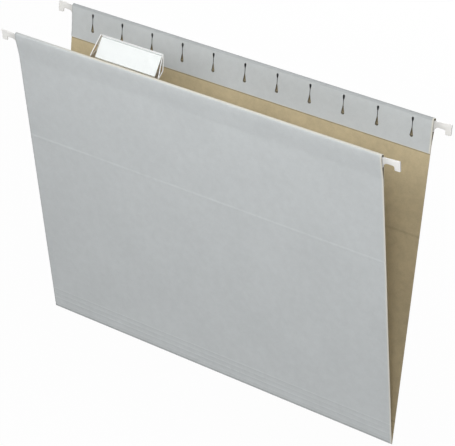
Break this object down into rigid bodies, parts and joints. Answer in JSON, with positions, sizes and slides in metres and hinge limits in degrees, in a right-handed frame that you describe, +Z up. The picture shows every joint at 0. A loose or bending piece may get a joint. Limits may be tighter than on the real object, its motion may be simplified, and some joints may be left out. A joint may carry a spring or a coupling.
{
  "type": "hanging file folder",
  "caption": "Hanging file folder of scored card with hooked steel rods in its top folds, slots for index tabs and a clear tab with a paper label.",
  "frame": {"origin": "under the middle of the bottom fold, at the folder's lowest point", "axes": "+X to the right along the rods, +Y from the front panel to the rear panel, +Z up"},
  "size_m": [0.3244, 0.0646, 0.2494],
  "materials": {
    "card": "matte",
    "glue": "matte",
    "rod_steel": "satin",
    "hook_coat": "satin",
    "clear_plastic": "gloss",
    "label_paper": "matte"
  },
  "bodies": {
    "rear_lower": {"rear_base_strip": "card", "rear_lower_panel": "card"},
    "rear_upper": {"rear_upper_panel": "card", "rear_sleeve_wall": "card", "rear_top_fold": "card", "rear_flap": "card", "rear_sleeve_glue": "glue"},
    "rear_hanger": {"rear_rod": "rod_steel", "rear_left_hook_coat": "hook_coat", "rear_right_hook_coat": "hook_coat"},
    "front_lower": {"front_base_strip": "card", "front_lower_panel": "card"},
    "front_upper": {"front_upper_panel": "card", "front_sleeve_wall": "card", "front_top_fold": "card", "front_flap": "card", "front_sleeve_glue": "glue", "tab_clip": "clear_plastic"},
    "front_hanger": {"front_rod": "rod_steel", "front_left_hook_coat": "hook_coat", "front_right_hook_coat": "hook_coat"},
    "tab": {"tab_window": "clear_plastic"},
    "label": {"tab_label": "label_paper"}
  },
  "joints": [
    {"name": "rear_mid_fold", "type": "hinge", "parent": "rear_lower", "child": "rear_upper", "pos_m": [0, 0.02028, 0.15306], "axis": [-1, 0, 0], "range_deg": [0, 120]},
    {"name": "rear_rod_slide", "type": "slide", "parent": "rear_upper", "child": "rear_hanger", "axis": [1, 0, 0], "range_m": [-0.0015, 0.0015]},
    {"name": "bottom_fold", "type": "hinge", "parent": "rear_lower", "child": "front_lower", "pos_m": [0, 0, 0.0004], "axis": [1, 0, 0], "range_deg": [-13, 165]},
    {"name": "front_mid_fold", "type": "hinge", "parent": "front_lower", "child": "front_upper", "pos_m": [0, -0.02028, 0.15306], "axis": [1, 0, 0], "range_deg": [0, 120]},
    {"name": "front_rod_slide", "type": "slide", "parent": "front_upper", "child": "front_hanger", "axis": [1, 0, 0], "range_m": [-0.0015, 0.0015]},
    {"name": "tab_flex", "type": "hinge", "parent": "front_upper", "child": "tab", "pos_m": [-0.05638, -0.02916, 0.23492], "axis": [1, 0, 0], "range_deg": [-4, 25], "stiffness_Nm_per_rad": 0.03},
    {"name": "label_slide", "type": "slide", "parent": "tab", "child": "label", "axis": [1, 0, 0], "range_m": [-0.052, 0.052]}
  ]
}
